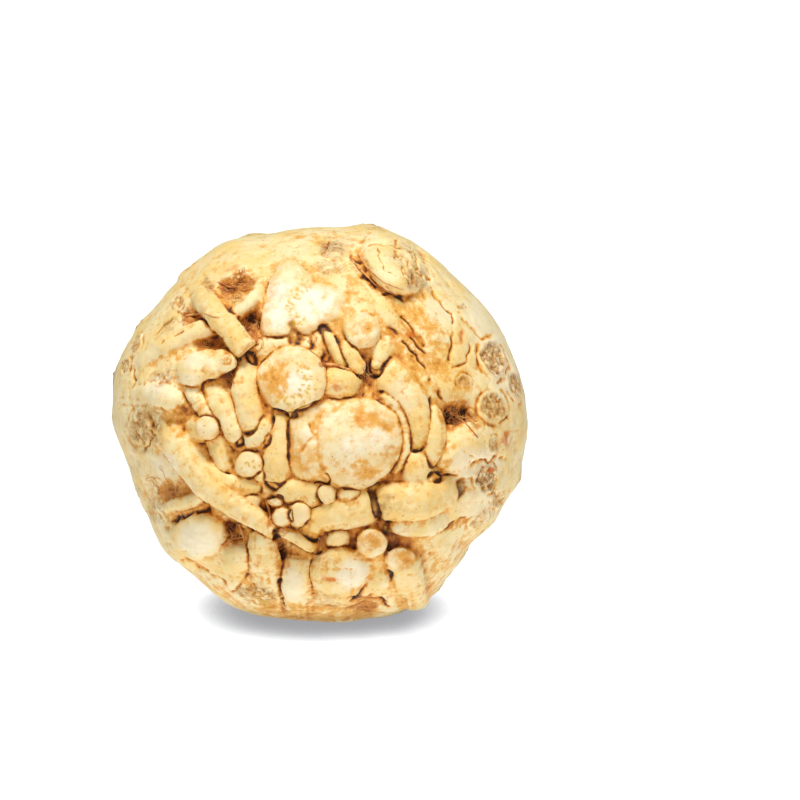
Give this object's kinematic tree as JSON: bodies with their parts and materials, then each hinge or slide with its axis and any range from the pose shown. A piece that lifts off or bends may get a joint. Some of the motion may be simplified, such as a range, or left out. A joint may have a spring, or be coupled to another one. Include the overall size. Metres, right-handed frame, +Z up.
{
  "type": "celeriac root",
  "caption": "Whole celeriac root lying on its side, with trimmed side roots packed in a hollow at its root end and short leaf stalk stumps at its crown.",
  "frame": {"origin": "on the surface that the root rests on, under the middle of its box", "axes": "+Z up, -Y towards the root end, which also looks up by 15 degrees, +X across the root end"},
  "size_m": [0.1246, 0.1159, 0.1181],
  "materials": {
    "root_skin": "matt cream and golden tan root skin with brown creases and pale cut faces"
  },
  "bodies": {
    "root": {"celeriac_root": "root_skin"}
  },
  "joints": []
}
